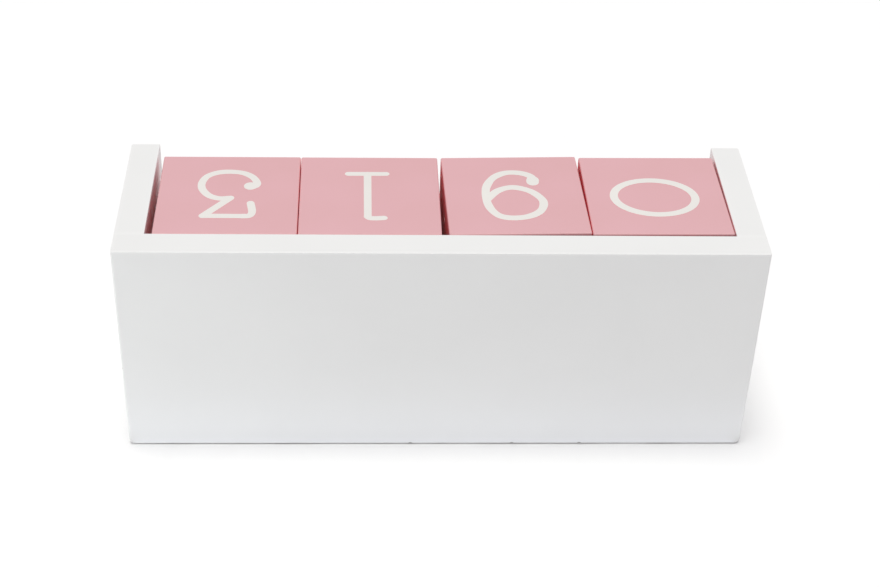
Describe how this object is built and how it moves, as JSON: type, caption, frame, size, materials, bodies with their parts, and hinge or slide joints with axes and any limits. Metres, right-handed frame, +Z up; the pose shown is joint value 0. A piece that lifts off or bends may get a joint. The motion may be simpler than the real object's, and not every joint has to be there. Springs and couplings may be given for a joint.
{
  "type": "perpetual desk calendar with drawer",
  "caption": "Perpetual desk calendar: loose number cubes stand in a white board box, open at the front and top, above a shallow drawer with a round knob.",
  "frame": {"origin": "On the surface that the calendar stands on, under the middle of the case's footprint.", "axes": "+Z up, -Y towards the person reading the calendar, the way the drawer opens, +X to that person's right, along the row of cubes."},
  "size_m": [0.2264, 0.0822, 0.0867],
  "materials": {
    "white_paint": "satin white paint on smooth board",
    "pink_paint": "matt pink paint on wood, with off-white printed numbers",
    "pale_wood": "bare pale wood, sanded",
    "bright_steel": "bright zinc-plated steel"
  },
  "bodies": {
    "case": {"back_board": "white_paint", "left_side_board": "white_paint", "right_side_board": "white_paint", "cube_shelf": "white_paint", "bottom_board": "white_paint", "back_board_brads": "bright_steel", "shelf_brads": "bright_steel", "bottom_board_brads": "bright_steel"},
    "drawer": {"drawer_front": "white_paint", "drawer_left_side": "pale_wood", "drawer_right_side": "pale_wood", "drawer_back": "pale_wood", "drawer_floor": "pale_wood", "drawer_brads": "bright_steel", "drawer_knob": "white_paint", "knob_screw": "bright_steel", "knob_washer": "bright_steel"},
    "month_tens": {"month_tens_cube": "pink_paint"},
    "month_units": {"month_units_cube": "pink_paint"},
    "day_tens": {"day_tens_cube": "pink_paint"},
    "day_units": {"day_units_cube": "pink_paint"}
  },
  "joints": [
    {"name": "drawer_slide", "type": "slide", "parent": "case", "child": "drawer", "axis": [0, -1, 0], "range_m": [0, 0.045]},
    {"name": "month_tens_lift", "type": "slide", "parent": "case", "child": "month_tens", "axis": [0, 0, 1], "range_m": [0, 0.06]},
    {"name": "month_units_lift", "type": "slide", "parent": "case", "child": "month_units", "axis": [0, 0, 1], "range_m": [0, 0.06]},
    {"name": "day_tens_lift", "type": "slide", "parent": "case", "child": "day_tens", "axis": [0, 0, 1], "range_m": [0, 0.06]},
    {"name": "day_units_lift", "type": "slide", "parent": "case", "child": "day_units", "axis": [0, 0, 1], "range_m": [0, 0.06]}
  ]
}
